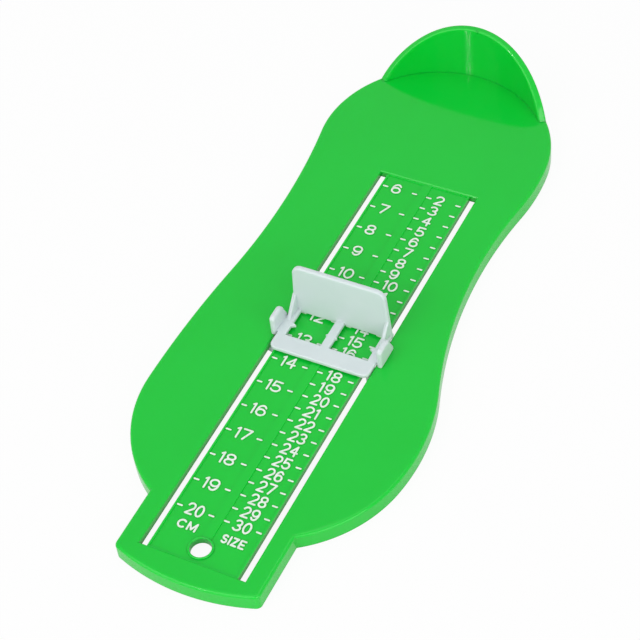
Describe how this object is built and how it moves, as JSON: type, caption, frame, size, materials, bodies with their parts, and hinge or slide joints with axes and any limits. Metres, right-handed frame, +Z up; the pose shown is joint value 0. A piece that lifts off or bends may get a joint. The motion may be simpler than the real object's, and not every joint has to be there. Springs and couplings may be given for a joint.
{
  "type": "foot measuring gauge",
  "caption": "Child's foot gauge: foot-shaped plate with an arched heel wall, a centimetre and a shoe-size scale, and a marker with an upright toe plate that slides in slots along them.",
  "frame": {"origin": "middle of the footprint on the surface that the plate lies on", "axes": "+Y along the scales from the toe end towards the heel wall, +Z up out of the plate's top face, +X to the right seen from the toe end"},
  "size_m": [0.0888, 0.2262, 0.0258],
  "materials": {
    "green_plastic": "glossy moulded plastic",
    "white_plastic": "glossy moulded plastic, faintly blue",
    "white_foil": "stamped white foil, satin"
  },
  "bodies": {
    "base": {"base_plate": "green_plastic", "cm_ticks": "white_foil", "cm_numerals": "white_foil", "size_ticks": "white_foil", "size_numerals": "white_foil", "unit_marks": "white_foil"},
    "marker": {"slider": "white_plastic"}
  },
  "joints": [
    {"name": "marker_slide", "type": "slide", "parent": "base", "child": "marker", "axis": [0, 1, 0], "range_m": [-0.0801, 0.0659]}
  ]
}
